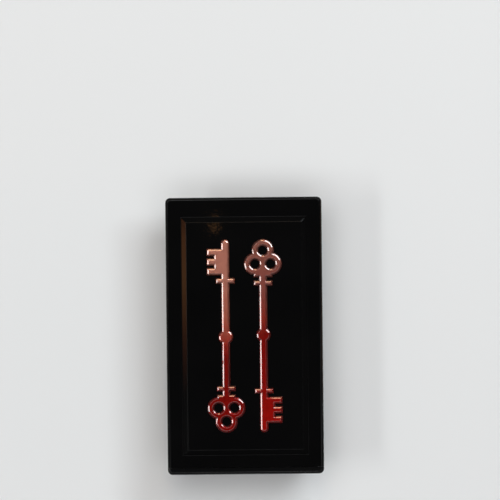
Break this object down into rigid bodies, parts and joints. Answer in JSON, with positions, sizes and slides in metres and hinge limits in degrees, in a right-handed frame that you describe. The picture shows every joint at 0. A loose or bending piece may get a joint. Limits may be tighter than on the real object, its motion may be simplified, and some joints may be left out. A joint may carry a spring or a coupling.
{
  "type": "magnetic key holder box",
  "caption": "Flat moulded box for spare keys, with a sliding lid and a sandwich magnet set in its back that holds it to steel.",
  "frame": {"origin": "centre of the box in the plane that the pole plates' edges touch, which is the plane that the box holds to", "axes": "+Z out through the lid, +Y the way the lid slides off, along the box's length, +X to the right seen from the lid"},
  "size_m": [0.044, 0.078, 0.0175],
  "materials": {
    "tray_plastic": "matte",
    "lid_plastic": "matte",
    "foil": "gloss",
    "ferrite": "matte",
    "pole_steel": "satin",
    "adhesive": "gloss"
  },
  "bodies": {
    "case": {"tray": "tray_plastic", "magnet_block": "ferrite", "pole_plate_left": "pole_steel", "pole_plate_right": "pole_steel", "magnet_adhesive": "adhesive"},
    "lid": {"slide_lid": "lid_plastic", "foil_key_left": "foil", "foil_key_right": "foil"}
  },
  "joints": [
    {"name": "lid_slide", "type": "slide", "parent": "case", "child": "lid", "axis": [0, 1, 0], "range_m": [0, 0.0775]}
  ]
}
